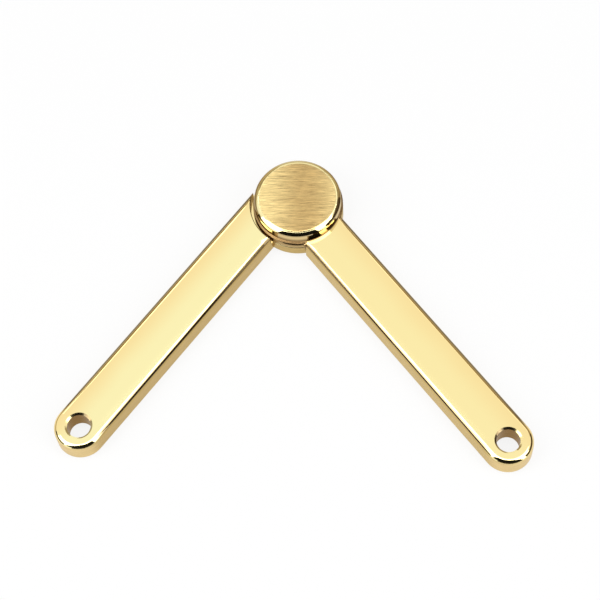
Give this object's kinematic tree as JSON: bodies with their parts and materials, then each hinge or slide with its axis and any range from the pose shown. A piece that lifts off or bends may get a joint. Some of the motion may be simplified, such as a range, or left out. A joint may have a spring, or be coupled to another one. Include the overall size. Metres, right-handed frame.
{
  "type": "lid stay",
  "caption": "Folding friction lid stay: two flat gold-plated arms half-lapped on a riveted hub, under a round brushed cap, with a screw hole at each end.",
  "frame": {"origin": "hinge axis in the plane of the flat backs", "axes": "+Z along the hinge axis towards the cap, +X across the two arms, arms pointing towards -Y"},
  "size_m": [0.1161, 0.0827, 0.0092],
  "materials": {
    "polished_gold_plate": "mirror-polished faces and edges with satin side walls",
    "brushed_gold_plate": "straight-brushed face, polished bevel",
    "steel": "plain zinc-plated",
    "washer_plastic": "natural"
  },
  "bodies": {
    "lower_half": {"lower_arm": "polished_gold_plate", "pivot_rivet": "steel", "lap_friction_washer": "washer_plastic", "disc_spring_lower": "steel", "disc_spring_upper": "steel", "keyed_washer": "steel"},
    "upper_half": {"upper_arm": "polished_gold_plate", "cap": "brushed_gold_plate", "pack_friction_washer": "washer_plastic"}
  },
  "joints": [
    {"name": "arm_hinge", "type": "hinge", "parent": "lower_half", "child": "upper_half", "pos_m": [0, 0, 0.00355], "axis": [0, 0, 1], "range_deg": [-41.4, 104.6]}
  ]
}
